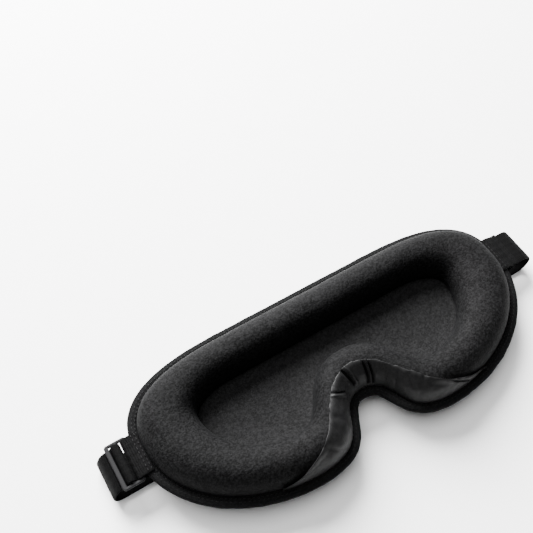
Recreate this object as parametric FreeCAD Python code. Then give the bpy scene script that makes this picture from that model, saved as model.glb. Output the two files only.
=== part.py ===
import FreeCAD, Part
import math
import os

# A padded, contoured sleep eye mask with a nose flap and an adjustable elastic strap.
# It lies with its skin side up and its strap tucked flat beneath it.
# X runs along its width, +Y points to the forehead edge, +Z is up and z = 0 is what it lies on.
# Millimetres. The right half mirrors the left one, and each half is described with x above zero.

V = FreeCAD.Vector
os.makedirs("parts", exist_ok=True)

# Overall sizes
mask_width = 237.0        # from one bound end to the other
mask_height = 101.6       # forehead edge to the lowest point of the cheek lobes
rim_height = 15.6         # middle of the bound edge above the table
loop_length = 19.5        # how far each strap loop stands out beyond the bound edge

# Outline of the bound edge
shoulder_x = 45.0         # end of the straight forehead edge
end_y = 8.5               # level of the widest point
lobe_x = 42.0             # lowest point of a cheek lobe
notch_depth = 27.3        # nose notch, above the lobes
shoulder_power = 2.83     # squareness of the upper corner
cheek_power = 1.95        # squareness of the lower corner
flank_low = 4.1           # handles that set the slope of the nose notch's flank
flank_high = 15.4

# Outline of the eye cavity, inside the padded ring
forehead_ring = 27.3      # width of the ring at the forehead, the temples, the lobes and the nose
temple_ring = 37.2
lobe_ring = 27.9
nose_ring = 28.9
cavity_shoulder_x = 57.5
cavity_end_y = 12.0
cavity_power = 1.95
cavity_flank_low = 23.4
cavity_flank_high = 26.6

# Layers
cover_thickness = 0.4     # outer knit of the front and the lining of the cavity
front_depth = 12.9        # how far the front domes bulge below the bound edge
cavity_depth = 5.6        # how far the cavity floor lies below the bound edge
swell_start = 0.8         # flat strip inside the tape, where the layers begin to part
swell_run = 38.0          # from there to the middle of a dome
pressed_half = 0.9        # half the thickness of the layers pressed inside the tape
saddle_share = 0.30       # how much shallower the front is over the nose bridge
layer_gap = 0.12          # between layers that are laid on each other
ring_height = 16.2        # padded ring above the lining
crest_share = 0.6         # the ring's crest, as a share of the way in from its outer foot
outer_power = 2.0         # fullness of the ring's cross section, outside and inside its crest
inner_power = 2.5
ring_skin = 0.8           # knit cover of the ring
skin_gap = 0.2            # between the ring's foam and its cover
ring_foot = 0.8           # upright foot of the ring, below its rounded surface
layer_grid = (27, 19)     # points that each layer's surface passes through
ring_grid = (33, 15)

# Bound edge
binding_width = 5.5
binding_thickness = 3.8
binding_wall = 0.7
binding_fold = 1.5        # closed part of the tape, outside the pressed layers
binding_round = 0.5       # bevels of the tape's fold and of its sewn edge
binding_bevel = 0.3
edge_clearance = 0.5      # between the pressed layers and the fold
thread_size = 0.5
thread_seat = 0.02        # between the tape and a thread
thread_height = 0.28
outer_thread_inset = 2.0
inner_thread_inset = 4.4

# Bridge of the nose, where the two halves flex
flex_range = 20.0         # degrees
flex_margin = 0.6         # degrees that each half's end face leans beyond its share of the range
forehead_pull = 12        # how soon the ring's ends give way to those leaning faces
nose_pull = 24
half_gap = 1.1            # between the two halves, so that the bound edge clears itself as they flex
gusset_clearance = 0.15
gusset_foot = 3.0         # lowest level of the wedges, above the bound edge
gusset_span = (0.04, 0.86)  # shares of the way over the ring

# Nose flap
flap_thickness = 0.6
flap_gap = 0.35           # above the ring's cover
seam_span = (0.02, 0.085)  # sewn strip, as shares of the way over the ring
free_start = 0.10         # where the flap comes free of its seam
flap_reach = 0.46         # share of the way over the ring
tail_reach = 0.72         # share of that reach that the narrow tails have
tail_start = 0.70         # along the outline, from the forehead to the nose
wing_start = 0.79
wing_end = 0.92
wing_gap = 0.006          # along the outline, beside the moving wing
wing_taper = 0.08         # how much a wing narrows along the outline, so that it lifts clear of the bridge
hem_width = 0.08          # share of the way over the ring
hem_gap = 0.008

# Strap, tabs and adjuster
strap_width = 22.0
strap_thickness = 1.2
strap_y = 10.5            # middle of the strap
tab_thickness = 1.0
tab_margin = 0.5          # webbing on each side of the strap
adjuster_thickness = 1.8
bar_width = 1.7           # inner and middle bars of the adjuster
outer_bar_width = 2.3
side_bar_width = 1.6
slot_clearance = 0.5      # between the strap's edge and the adjuster's side bars
corner_radius = 1.8
soft_edge = 0.5
bar_reach = 1.9           # first bar, beyond the bound edge
tab_slot = 5.4            # between the middles of the inner and the middle bar
strap_slot = 4.95         # between the middles of the middle and the outer bar
wrap_gap = 0.35           # between a bar and what is wrapped round it
tab_lift = 0.4            # between the tape and the tab's legs, over the thread
tab_overlap = 5.2         # tab's legs on the mask
fold_slack = 0.3          # the tab's loop stands this much further off its bar
join_length = 7.5         # how far the sewn tab holds the strap, beyond the bound edge
stretch_gap = 0.5         # between a strap loop and the pieces that it moves away from
tail_length = 7.4
tail_drop = 4.9           # below the middle of the adjuster
tail_hem = 3.2            # length of the strap's turned end
hem_seat = 0.05           # between the tail and its turned end
stitch_size = 0.4
stitch_pitch = 2.0        # between the two rows of stitches across a tab
stitch_inset = 1.0        # from the end of the tab's legs

half_width = mask_width / 2
top_y = mask_height / 2
lobe_y = -mask_height / 2
notch_y = lobe_y + notch_depth
loop_reach = half_width + loop_length
tab_width = strap_width + 2 * tab_margin


def power_arc(center, reach_x, reach_y, power, angle):
    """Point of a squared-off quarter ellipse, at an angle from its +X end."""
    c, s = math.cos(angle), math.sin(angle)
    x = abs(c) ** (2 / power) * reach_x
    y = math.copysign(abs(s) ** (2 / power), s) * reach_y
    return center[0] + x, center[1] + y


def bezier(p0, p1, p2, p3, t):
    s = 1 - t
    weights = (s ** 3, 3 * s * s * t, 3 * s * t * t, t ** 3)
    return tuple(sum(w * p[i] for w, p in zip(weights, (p0, p1, p2, p3))) for i in (0, 1))


def along(u, top, shoulder, end, lobe, notch, powers, flank):
    """Point on a half outline: straight forehead edge, upper corner, lower corner, nose flank."""
    forehead, upper, lower = 0.17, 0.40, 0.70
    if u <= forehead:
        return shoulder * u / forehead, top
    if u <= upper:
        angle = math.pi / 2 * (1 - (u - forehead) / (upper - forehead))
        return power_arc((shoulder, end[1]), end[0] - shoulder, top - end[1], powers[0], angle)
    if u <= lower:
        angle = -math.pi / 2 * (u - upper) / (lower - upper)
        return power_arc((lobe[0], end[1]), end[0] - lobe[0], end[1] - lobe[1], powers[1], angle)
    t = (u - lower) / (1 - lower)
    return bezier(lobe, (flank[0], lobe[1]), (flank[1], notch), (0.0, notch), t)


def edge_point(u):
    """Point on the bound edge; past either end the outline goes on as its own mirror image."""
    if not 0 <= u <= 1:
        x, y = edge_point(-u if u < 0 else 2 - u)
        return -x, y
    return along(u, top_y, shoulder_x, (half_width, end_y), (lobe_x, lobe_y), notch_y,
                 (shoulder_power, cheek_power), (flank_low, flank_high))


def cavity_point(u):
    return along(u, top_y - forehead_ring, cavity_shoulder_x, (half_width - temple_ring, cavity_end_y),
                 (lobe_x, lobe_y + lobe_ring), notch_y + nose_ring,
                 (cavity_power, cavity_power), (cavity_flank_low, cavity_flank_high))


def inset_point(u, inset):
    """Point of the outline moved inwards, square to the edge."""
    step = 1e-3
    a = edge_point(u - step)
    b = edge_point(u + step)
    x, y = edge_point(u)
    length = math.hypot(b[0] - a[0], b[1] - a[1])
    return x + (b[1] - a[1]) / length * inset, y - (b[0] - a[0]) / length * inset


EDGE = [edge_point(i / 240) for i in range(241)]


def edge_distance(x, y):
    """Distance from a point inside the mask to its bound edge."""
    best = 1e9
    for (ax, ay), (bx, by) in zip(EDGE, EDGE[1:]):
        dx, dy = bx - ax, by - ay
        t = max(0.0, min(1.0, ((x - ax) * dx + (y - ay) * dy) / (dx * dx + dy * dy + 1e-12)))
        best = min(best, math.hypot(x - ax - t * dx, y - ay - t * dy))
    return best


def swell(x, y):
    """0 under the binding, rising to 1 in the middle of a dome."""
    share = max(0.0, min(1.0, (edge_distance(x, y) - binding_width - swell_start) / swell_run))
    return (1 - (1 - share) ** 2.2) ** 1.15


def lining_top(x, y):
    return rim_height + pressed_half - cavity_depth * swell(x, y)


def front_bottom(x, y):
    saddle = 1 - saddle_share * math.exp(-(x / 16.0) ** 2)
    return rim_height - pressed_half - front_depth * swell(x, y) * saddle


def surface(point, rows, columns):
    grid = [[point(i / (rows - 1), j / (columns - 1)) for j in range(columns)] for i in range(rows)]
    patch = Part.BSplineSurface()
    patch.interpolate([[V(*p) for p in row] for row in grid])
    return patch


def solid_of(faces):
    shell = Part.Shell(faces)
    shell.sewShape()
    solid = Part.Solid(shell)
    if solid.Volume < 0:
        solid.reverse()
    return solid


def slab(lower, upper, rows, columns):
    """Closed solid between two surfaces that share one grid."""
    low = surface(lower, rows, columns)
    high = surface(upper, rows, columns)
    faces = [low.toShape(), high.toShape()]
    for fixed in ((0, 0), (0, 1), (1, 0), (1, 1)):
        pair = []
        for patch in (low, high):
            u0, u1, v0, v1 = patch.bounds()
            pair.append(patch.uIso((u0, u1)[fixed[1]]) if fixed[0] == 0 else patch.vIso((v0, v1)[fixed[1]]))
        faces.append(pair[0].makeRuledSurface(pair[1]).toShape())
    return solid_of(faces)


def edge_sweep(corners, u_start=0.0, u_end=1.0, count=61):
    """Solid that follows the outline; its section is a list of (inset, z) corners."""
    paths = []
    for inset, z in corners:
        points = []
        for i in range(count):
            x, y = inset_point(u_start + (u_end - u_start) * i / (count - 1), inset)
            points.append(V(x + half_gap / 2, y, z))
        curve = Part.BSplineCurve()
        curve.interpolate(points)
        paths.append(curve)
    faces = [a.makeRuledSurface(b).toShape() for a, b in zip(paths, paths[1:] + paths[:1])]
    for end in (0, -1):
        ring = [path.toShape().Vertexes[end].Point for path in paths]
        faces.append(Part.Face(Part.makePolygon(ring + ring[:1])))
    return solid_of(faces)


def mirrored(shape):
    return shape.mirror(V(0, 0, 0), V(1, 0, 0))


def save(name, shape):
    shape.exportStep("parts/" + name + ".step")
    print("%-26s valid %s solids %d volume %.1f" % (name, shape.isValid(), len(shape.Solids), shape.Volume))


def save_pair(name, shape):
    save(name + "_right", shape)
    save(name + "_left", mirrored(shape))


# ---- Front: knit cover, foam and cavity lining, as layers between the bound edges ----

layer_inset = binding_fold + edge_clearance
LAYER_EDGE = [inset_point(i / 240, layer_inset) for i in range(241)]
layer_end_x = max(p[0] for p in LAYER_EDGE) - 1.0


def layer_span(x):
    """Lowest and highest y of the layers at one x."""
    ys = []
    for (ax, ay), (bx, by) in zip(LAYER_EDGE, LAYER_EDGE[1:]):
        if (ax - x) * (bx - x) <= 0 and ax != bx:
            ys.append(ay + (by - ay) * (x - ax) / (bx - ax))
    return min(ys), max(ys)


def layer_plan(u, v):
    x = half_gap / 2 + (layer_end_x - half_gap / 2) * (1 - math.cos(math.pi * u)) / 2
    low, high = layer_span(x)
    return x, low + (high - low) * (1 - math.cos(math.pi * v)) / 2


def layer(height_below, height_above):
    def lower(u, v):
        x, y = layer_plan(u, v)
        return x, y, height_below(x, y)

    def upper(u, v):
        x, y = layer_plan(u, v)
        return x, y, height_above(x, y)

    return slab(lower, upper, *layer_grid)


def make_front():
    save_pair("front_cover", layer(front_bottom, lambda x, y: front_bottom(x, y) + cover_thickness))
    save_pair("front_foam", layer(lambda x, y: front_bottom(x, y) + cover_thickness + layer_gap,
                                  lambda x, y: lining_top(x, y) - cover_thickness - layer_gap))
    save_pair("cavity_lining", layer(lambda x, y: lining_top(x, y) - cover_thickness, lining_top))


# ---- Padded ring round the eyes ----

ring_inset = binding_width + ring_skin + skin_gap + flap_gap + flap_thickness + 2 * skin_gap
ring_base = skin_gap + layer_gap


def ring_point(u, v, grow):
    """Point on the ring's rounded surface; v runs from its outer foot over the crest to the cavity."""
    outer = inset_point(u, ring_inset)
    inner = cavity_point(u)
    crest = [a + (b - a) * crest_share for a, b in zip(outer, inner)]
    foot, power = (outer, outer_power) if v < 0.5 else (inner, inner_power)
    reach = (foot[0] - crest[0], foot[1] - crest[1])
    across = abs(math.cos(math.pi * v)) ** (2 / power) * (1 + grow / math.hypot(*reach))
    x = crest[0] + reach[0] * across
    y = crest[1] + reach[1] * across
    rise = (ring_height + grow) * math.sin(math.pi * v) ** (2 / power) if 0 < v < 1 else 0.0
    z = lining_top(max(0.0, x), y) + ring_base + ring_foot + rise
    lean = math.tan(math.radians(flex_range / 2 + flex_margin)) * max(0.0, z - rim_height)
    return x + (half_gap / 2 + lean) * ((1 - u) ** forehead_pull + u ** nose_pull), y, z


def ring_floor(u, v):
    x, y, z = ring_point(u, v, 0.0)
    base = lining_top(max(0.0, x), y) + ring_base
    return (x if 0 < u < 1 else half_gap / 2), y, base


def row_share(v):
    """Puts the rows of a grid closer together at the steep feet of the ring."""
    return (1 - math.cos(math.pi * v)) / 2


def make_ring():
    foam = slab(lambda u, v: ring_floor(u, row_share(v)), lambda u, v: ring_point(u, row_share(v), 0.0),
                *ring_grid)
    save_pair("ring_foam", foam)
    skin = slab(lambda u, v: ring_point(u, row_share(v), skin_gap),
                lambda u, v: ring_point(u, row_share(v), skin_gap + ring_skin), *ring_grid)
    save_pair("ring_cover", skin)


# ---- Bridge: soft wedges between the two halves of the ring ----

def make_gusset(name, u):
    """Wedge that fills the opening between the halves, above the line they flex about."""
    foot = rim_height + gusset_foot
    slope = math.tan(math.radians(flex_range / 2))

    def half_span(z):
        return half_gap / 2 + slope * (z - rim_height) - gusset_clearance

    def section(v):
        start, end = gusset_span
        return ring_point(u, start + (end - start) * v, 0.0)[1:]

    def lower(t, v):
        return half_span(foot) * (2 * t - 1), section(v)[0], foot

    def upper(t, v):
        y, z = section(v)
        return half_span(z) * (2 * t - 1), y, z

    save(name, slab(lower, upper, 3, 13))


# ---- Bound edge: folded tape and its lines of thread ----

def make_binding():
    fold = binding_thickness / 2
    slot = fold - binding_wall
    half = [(0.0, fold / 2), (binding_round, fold), (binding_width - binding_bevel, fold),
            (binding_width, fold - binding_bevel), (binding_width, slot), (binding_fold, slot)]
    corners = [(d, rim_height + z) for d, z in half] + [(d, rim_height - z) for d, z in reversed(half)]
    save_pair("edge_binding", edge_sweep(corners))
    for name, inset, side in (("outer_thread", outer_thread_inset, 1), ("inner_thread", inner_thread_inset, 1),
                              ("front_thread", outer_thread_inset, -1)):
        low = rim_height + side * (fold + thread_seat)
        high = low + side * thread_height
        wide, narrow = thread_size / 2, thread_size / 3
        save_pair(name, edge_sweep([(inset - wide, low), (inset + wide, low),
                                    (inset + narrow, high), (inset - narrow, high)]))


# ---- Nose flap: one thin sheet over the nose side of the ring, sewn along the bound edge ----

flap_base = ring_skin + skin_gap + flap_gap


def flap_sheet(u_span, v_span, rows, columns, taper=0.0):
    """Stretch of the flap; it narrows at its nose end by the taper for each share of the way over."""
    def place(grow):
        def point(u, v):
            over = v_span[0] + (v_span[1] - v_span[0]) * v
            end = u_span[1] - taper * over
            return ring_point(u_span[0] + (end - u_span[0]) * u, over, grow)

        return point

    return slab(place(flap_base), place(flap_base + flap_thickness), rows, columns)


def make_flap():
    tail = (tail_start, wing_start - wing_gap)
    wing = (wing_start, wing_end)
    hem = (flap_reach + hem_gap, flap_reach + hem_gap + hem_width)
    save_pair("nose_flap_seam", flap_sheet((tail_start, 1.0), seam_span, 21, 4))
    save_pair("nose_flap_tail", flap_sheet(tail, (free_start, flap_reach * tail_reach), 8, 7))
    save_pair("nose_flap_wing", flap_sheet(wing, (free_start, flap_reach), 13, 9, wing_taper))
    save_pair("nose_flap_hem", flap_sheet(wing, hem, 13, 4, wing_taper))
    save_pair("nose_flap_bridge", flap_sheet((wing_end + wing_gap, 1.0), (free_start, flap_reach), 9, 9))


# ---- Strap, tabs and adjuster ----

def ribbon(route, thickness, width):
    """Flat band along a route in XZ, centred on the strap's level."""
    line = Part.BSplineCurve()
    line.interpolate([V(x, 0, z) for x, z in route])
    sides = ([], [])
    count = max(9, 4 * len(route))
    for i in range(count):
        t = line.FirstParameter + (line.LastParameter - line.FirstParameter) * i / (count - 1)
        point, tangent = line.value(t), line.tangent(t)[0]
        normal = V(-tangent.z, 0, tangent.x) * (thickness / 2)
        sides[0].append(point + normal)
        sides[1].append(point - normal)
    edges = []
    for side in sides:
        curve = Part.BSplineCurve()
        curve.interpolate(side)
        edges.append(curve.toShape())
    ends = [Part.makeLine(sides[0][i], sides[1][i]) for i in (0, -1)]
    face = Part.Face(Part.Wire(Part.__sortEdges__(edges + ends)))
    face.translate(V(0, strap_y - width / 2, 0))
    return face.extrude(V(0, width, 0))


def flat_band(x_start, x_end, z_middle, thickness, width):
    low = V(min(x_start, x_end), strap_y - width / 2, z_middle - thickness / 2)
    return Part.makeBox(abs(x_end - x_start), width, thickness, low)


def turn(center, radius, start, end, count):
    """Points of an arc in XZ, by angle from +X towards +Z."""
    angles = [math.radians(start + (end - start) * i / (count - 1)) for i in range(count)]
    return [(center[0] + radius * math.cos(a), center[1] + radius * math.sin(a)) for a in angles]


inner_bar_x = half_width + bar_reach
middle_bar_x = inner_bar_x + tab_slot
outer_bar_x = middle_bar_x + strap_slot
join_x = half_width + join_length
floor_z = strap_thickness / 2
leg_height = binding_thickness / 2 + tab_lift + tab_thickness / 2


def make_adjuster():
    length = outer_bar_x + outer_bar_width / 2 - inner_bar_x + bar_width / 2
    slot_width = strap_width + 2 * slot_clearance
    width = slot_width + 2 * side_bar_width
    plate = Part.makeBox(length, width, adjuster_thickness,
                         V(inner_bar_x - bar_width / 2, strap_y - width / 2, rim_height - adjuster_thickness / 2))
    upright = [e for e in plate.Edges if abs(e.Vertexes[0].Z - e.Vertexes[-1].Z) > adjuster_thickness / 2]
    plate = plate.makeFillet(corner_radius, upright)
    bars = ((inner_bar_x + bar_width / 2, middle_bar_x - bar_width / 2),
            (middle_bar_x + bar_width / 2, outer_bar_x - outer_bar_width / 2))
    for start, end in bars:
        plate = plate.cut(Part.makeBox(end - start, slot_width, adjuster_thickness + 2,
                                       V(start, strap_y - slot_width / 2, rim_height - adjuster_thickness / 2 - 1)))
    flat = [e for e in plate.Edges if abs(e.BoundBox.ZLength) < 1e-6]
    save("adjuster_left", mirrored(plate.makeFillet(soft_edge, flat)))


def make_left_strap():
    loop_radius = bar_width / 2 + wrap_gap + fold_slack + tab_thickness / 2
    loop = turn((inner_bar_x, rim_height), loop_radius, -80, 80, 9)
    leg_end = half_width - tab_overlap
    legs = [(leg_end + step, leg_height) for step in (0.0, 1.5, 3.0)]
    legs.append((half_width - 0.8, leg_height - 0.1))
    route = [(x, rim_height - z) for x, z in legs] + loop + [(x, rim_height + z) for x, z in reversed(legs)]
    save("tab_left", mirrored(ribbon(route, tab_thickness, tab_width)))

    wrap = bar_width / 2 * 1.25 + wrap_gap + strap_thickness / 2
    under = adjuster_thickness / 2 + wrap_gap + strap_thickness / 2
    outer_end = outer_bar_x + outer_bar_width / 2
    over = turn((middle_bar_x, rim_height), wrap, 20, 165, 7)
    route = [(outer_end, rim_height - under), (outer_bar_x - 0.1, rim_height - under),
             (outer_bar_x - outer_bar_width / 2 - 0.8, rim_height - under * 0.72)] + over
    route += [(middle_bar_x - wrap, rim_height - 1.2), (middle_bar_x - wrap + 0.1, rim_height - 2.6)]
    save("strap_weave_left", mirrored(ribbon(route, strap_thickness, strap_width)))

    start_x = outer_end + 2 * stretch_gap
    reach = loop_reach - strap_thickness / 2
    route = [(start_x, rim_height - under - 0.5), (start_x + 2.0, rim_height - under - 2.2),
             (reach - 0.8, 8.2), (reach, 5.0), (reach - 1.3, 1.9), (reach - 4.6, floor_z),
             (reach - 8.0, floor_z), (join_x + stretch_gap, floor_z)]
    save("strap_loop_left", mirrored(ribbon(route, strap_thickness, strap_width)))

    tail_start_x = middle_bar_x - wrap + strap_thickness / 2
    tail_z = rim_height - tail_drop
    tail = flat_band(tail_start_x, tail_start_x + tail_length, tail_z, strap_thickness, strap_width)
    save("strap_tail_left", mirrored(tail))
    tail_end_x = tail_start_x + tail_length
    hem = flat_band(tail_end_x - tail_hem, tail_end_x, tail_z - strap_thickness - hem_seat,
                    strap_thickness, strap_width)
    save("strap_tail_hem_left", mirrored(hem))


def make_right_strap():
    leg_end = half_width - tab_overlap
    hold = strap_thickness / 2 + layer_gap + tab_thickness / 2
    route = [(leg_end + step, leg_height) for step in (0.0, 1.8, 3.6)]
    route += [(half_width, leg_height - 0.1), (half_width + 2.0, hold + 0.8),
              (half_width + 3.6, hold + 0.1), (half_width + 5.2, hold), (join_x, hold)]
    save("tab_upper_right", ribbon([(x, rim_height + z) for x, z in route], tab_thickness, tab_width))
    save("tab_lower_right", ribbon([(x, rim_height - z) for x, z in route], tab_thickness, tab_width))
    save("strap_anchor_right", flat_band(half_width + 3.0, join_x, rim_height, strap_thickness, strap_width))

    radius = (rim_height - floor_z) / 2
    center = (loop_reach - strap_thickness / 2 - radius, floor_z + radius)
    start_x = join_x + stretch_gap
    bend = turn(center, radius, 90, -90, 13)
    route = [(start_x, rim_height)] + bend + [(start_x, floor_z)]
    save("strap_loop_right", ribbon(route, strap_thickness, strap_width))


def make_shared_strap():
    save_pair("strap_under", flat_band(half_gap / 2, join_x, floor_z, strap_thickness, strap_width))
    top = rim_height + leg_height + tab_thickness / 2 + layer_gap + stitch_size / 2
    first_x = half_width - tab_overlap + stitch_inset
    rows = [flat_band(x - stitch_size / 2, x + stitch_size / 2, top, stitch_size, strap_width - stitch_pitch)
            for x in (first_x, first_x + stitch_pitch)]
    save_pair("tab_stitching", Part.makeCompound(rows))


make_front()
make_ring()
make_gusset("bridge_wedge_forehead", 0.0)
make_gusset("bridge_wedge_nose", 1.0)
make_binding()
make_flap()
make_adjuster()
make_left_strap()
make_right_strap()
make_shared_strap()
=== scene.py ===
"""Looks of a padded, contoured sleep eye mask that lies skin side up on its own strap."""

import logging
import math
from bisect import bisect_right
from dataclasses import dataclass, field
from enum import Enum
from typing import Callable, Sequence

import bmesh
import bpy
from mathutils import Matrix, Vector, noise
from mathutils.kdtree import KDTree


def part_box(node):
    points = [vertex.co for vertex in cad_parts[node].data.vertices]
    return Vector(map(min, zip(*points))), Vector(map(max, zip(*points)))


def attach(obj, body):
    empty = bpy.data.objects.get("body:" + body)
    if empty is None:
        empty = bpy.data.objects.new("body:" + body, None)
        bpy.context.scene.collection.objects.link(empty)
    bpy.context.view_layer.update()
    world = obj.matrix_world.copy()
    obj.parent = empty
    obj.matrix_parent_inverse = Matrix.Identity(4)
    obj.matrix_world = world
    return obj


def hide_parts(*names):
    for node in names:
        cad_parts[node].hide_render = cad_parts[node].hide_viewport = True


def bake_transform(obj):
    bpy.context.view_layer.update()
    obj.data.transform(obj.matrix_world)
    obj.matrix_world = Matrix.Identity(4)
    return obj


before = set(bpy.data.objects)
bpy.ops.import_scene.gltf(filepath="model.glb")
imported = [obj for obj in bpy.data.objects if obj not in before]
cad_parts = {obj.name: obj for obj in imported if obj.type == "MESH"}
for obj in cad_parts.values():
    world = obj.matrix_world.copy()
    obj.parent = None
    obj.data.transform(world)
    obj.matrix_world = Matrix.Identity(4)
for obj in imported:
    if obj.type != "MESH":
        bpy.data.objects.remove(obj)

MM = 0.001
LOG = logging.getLogger("sleep_mask")

Place = Callable[[float, float], Vector]


class Lay(Enum):
    """How the threads of a cloth lie."""

    KNIT = "knit"
    TAPE = "tape"
    SATIN = "satin"
    RIBBED = "ribbed"


class Wing(Enum):
    """Side of the nose flap that lifts."""

    LEFT = -1
    RIGHT = 1


# ---------------------------------------------------------------------------
# Form of the mask
# ---------------------------------------------------------------------------


@dataclass(frozen=True)
class HalfOutline:
    """Half of a goggle-shaped outline, from the middle of the forehead to the nose.

    Lengths are in metres; powers square the corners off, and flank gives the slope at the nose.
    """

    top: float
    shoulder: float
    end: tuple[float, float]
    lobe: tuple[float, float]
    notch: float
    powers: tuple[float, float]
    flank: tuple[float, float]
    stops: tuple[float, float, float] = (0.17, 0.40, 0.70)

    def corner(self, center: float, reach: tuple[float, float], power: float, angle: float) -> Vector:
        """Point of a squared-off quarter ellipse.

        Args:
            center: x of the ellipse's centre; its y is that of the outline's end.
            reach: the two radii.
            power: 2 is an ellipse, more is squarer.
            angle: from the outline's end, positive upwards.

        Returns:
            The point, flat in XY.
        """
        c, s = math.cos(angle), math.sin(angle)
        x = center + abs(c) ** (2 / power) * reach[0]
        y = self.end[1] + math.copysign(abs(s) ** (2 / power), s) * reach[1]
        return Vector((x, y))

    def at(self, t: float) -> Vector:
        """Point on the whole outline.

        Args:
            t: 0 at the forehead, 1 at the nose, and on to 2 by way of the left half.

        Returns:
            The point, flat in XY.
        """
        if not 0 <= t <= 1:
            mirrored = self.at(-t if t < 0 else 2 - t)
            return Vector((-mirrored.x, mirrored.y))
        forehead, upper, lower = self.stops
        if t <= forehead:
            return Vector((self.shoulder * t / forehead, self.top))
        if t <= upper:
            angle = math.pi / 2 * (1 - (t - forehead) / (upper - forehead))
            reach = (self.end[0] - self.shoulder, self.top - self.end[1])
            return self.corner(self.shoulder, reach, self.powers[0], angle)
        if t <= lower:
            angle = -math.pi / 2 * (t - upper) / (lower - upper)
            reach = (self.end[0] - self.lobe[0], self.end[1] - self.lobe[1])
            return self.corner(self.lobe[0], reach, self.powers[1], angle)
        s = (t - lower) / (1 - lower)
        handles = (self.lobe, (self.flank[0], self.lobe[1]), (self.flank[1], self.notch), (0.0, self.notch))
        weights = ((1 - s) ** 3, 3 * (1 - s) ** 2 * s, 3 * (1 - s) * s * s, s ** 3)
        return Vector([sum(w * h[i] for w, h in zip(weights, handles)) for i in (0, 1)])

    def inset(self, t: float, depth: float) -> Vector:
        """Point of the outline moved inwards, square to the edge."""
        step = 1e-3
        along = (self.at(t + step) - self.at(t - step)).normalized()
        return self.at(t) + Vector((along.y, -along.x)) * depth


@dataclass
class MaskForm:
    """Surfaces that every sub-assembly of the mask is fitted to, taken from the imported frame's sizes."""

    rim: float
    width: float
    height: float
    tape_width: float = 5.5 * MM
    pressed_half: float = 0.9 * MM
    front_depth: float = 12.9 * MM
    cavity_depth: float = 5.6 * MM
    ring_height: float = 17.3 * MM
    ring_inset: float = 5.5 * MM
    crest_share: float = 0.6
    ring_powers: tuple[float, float] = (2.0, 2.5)
    edge: HalfOutline = field(init=False)
    cavity: HalfOutline = field(init=False)

    def __post_init__(self) -> None:
        """Lays out the two outlines and the edge points that distances are measured to."""
        top, low, end = self.height / 2, -self.height / 2, self.width / 2
        lobe_x = 42.0 * MM
        notch = low + 27.3 * MM
        self.edge = HalfOutline(top, 45.0 * MM, (end, 8.5 * MM), (lobe_x, low), notch,
                                (2.83, 1.95), (4.1 * MM, 15.4 * MM))
        self.cavity = HalfOutline(top - 27.3 * MM, 57.5 * MM, (end - 37.2 * MM, 12.0 * MM),
                                  (lobe_x, low + 27.9 * MM), notch + 28.9 * MM,
                                  (1.95, 1.95), (23.4 * MM, 26.6 * MM))
        count = 2400
        self.tree = KDTree(count)
        for i in range(count):
            point = self.edge.at(2 * i / count)
            self.tree.insert((point.x, point.y, 0.0), i)
        self.tree.balance()
        self.paces = [0.0]
        for i in range(count):
            step = (self.edge.at(2 * (i + 1) / count) - self.edge.at(2 * i / count)).length
            self.paces.append(self.paces[-1] + step)
        self.edge_length = self.paces[-1]
        self.spans = [self.edge.inset(2 * i / count, 2.0 * MM) for i in range(count + 1)]

    def paced(self, share: float) -> float:
        """Place along the outline at a share of its real length.

        Args:
            share: 0 to 1 for the whole way round.

        Returns:
            The outline's t, 0 to 2.
        """
        target = max(0.0, min(1.0, share)) * self.edge_length
        index = min(bisect_right(self.paces, target), len(self.paces) - 1)
        before, after = self.paces[index - 1], self.paces[index]
        return 2 * (index - 1 + (target - before) / (after - before)) / (len(self.paces) - 1)

    def swell(self, x: float, y: float) -> float:
        """0 under the binding, rising to 1 in the middle of a dome."""
        distance = self.tree.find((x, y, 0.0))[2]
        share = max(0.0, min(1.0, (distance - self.tape_width - 0.8 * MM) / (38.0 * MM)))
        return (1 - (1 - share) ** 2.2) ** 1.15

    def lining_top(self, x: float, y: float) -> float:
        """Height of the cavity's knit lining."""
        return self.rim + self.pressed_half - self.cavity_depth * self.swell(x, y)

    def front_bottom(self, x: float, y: float) -> float:
        """Height of the front's outer knit, the side that shows when the mask is worn."""
        saddle = 1 - 0.30 * math.exp(-(x / (16.0 * MM)) ** 2)
        return self.rim - self.pressed_half - self.front_depth * self.swell(x, y) * saddle

    def ring(self, t: float, v: float, grow: float) -> Vector:
        """Point on the padded ring's rounded surface.

        Args:
            t: along the outline, 0 to 2.
            v: 0 at the outer foot, 1 at the foot inside the cavity.
            grow: how far outside the ring's knit cover the point lies.

        Returns:
            The point.
        """
        outer = self.edge.inset(t, self.ring_inset)
        inner = self.cavity.at(t)
        crest = outer.lerp(inner, self.crest_share)
        foot, power = (outer, self.ring_powers[0]) if v < 0.5 else (inner, self.ring_powers[1])
        reach = foot - crest
        angle = math.pi * max(0.0, min(1.0, v))
        flat = crest + reach * (abs(math.cos(angle)) ** (2 / power) * (1 + grow / reach.length))
        rise = (self.ring_height + grow) * max(0.0, math.sin(angle)) ** (2 / power)
        return Vector((flat.x, flat.y, self.lining_top(flat.x, flat.y) + 1.0 * MM + rise))

    def row_span(self, x: float) -> tuple[float, float]:
        """Lowest and highest y of the pressed layers at one x."""
        ys = []
        for a, b in zip(self.spans, self.spans[1:]):
            if (a.x - x) * (b.x - x) <= 0 and a.x != b.x:
                ys.append(a.y + (b.y - a.y) * (x - a.x) / (b.x - a.x))
        return min(ys), max(ys)


# ---------------------------------------------------------------------------
# Mesh helpers
# ---------------------------------------------------------------------------


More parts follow.
